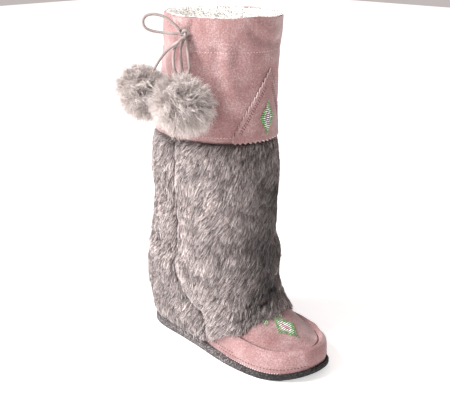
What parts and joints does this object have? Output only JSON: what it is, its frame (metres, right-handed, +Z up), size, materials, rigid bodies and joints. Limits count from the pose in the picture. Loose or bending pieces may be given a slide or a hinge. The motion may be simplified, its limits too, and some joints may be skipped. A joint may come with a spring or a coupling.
{
  "type": "mukluk boot",
  "caption": "Tall right-foot mukluk: pink suede moccasin foot, rabbit fur shaft, suede cuff with beaded peak, drawstring bow with fur pompoms, flat crepe sole.",
  "frame": {"origin": "on the floor under the middle of the heel", "axes": "+Z up, the toe points to -Y, the wearer's right (outer) side with the bow is -X"},
  "size_m": [0.1815, 0.2666, 0.4027],
  "materials": {
    "suede": "brushed dusty pink suede",
    "fur": "grey brown rabbit fur on the skin",
    "pompom": "long light grey rabbit fur",
    "sole": "dark speckled crepe",
    "insole": "cream felt and fleece",
    "lace": "round taupe suede lace",
    "beads": "small green, white and pink seed beads"
  },
  "bodies": {
    "root": {"outsole": "sole", "insole": "insole", "upper": "suede", "apron": "suede", "cuff": "suede", "cuff_peak": "suede", "fur_front": "fur", "fur_back": "fur", "toe_beadwork": "beads", "cuff_beadwork": "beads", "drawstring_knot": "lace", "drawstring_upper_loop": "lace", "drawstring_lower_loop": "lace", "drawstring_front_tail": "lace", "drawstring_rear_tail": "lace", "pompom_front": "pompom", "pompom_rear": "pompom"}
  },
  "joints": []
}
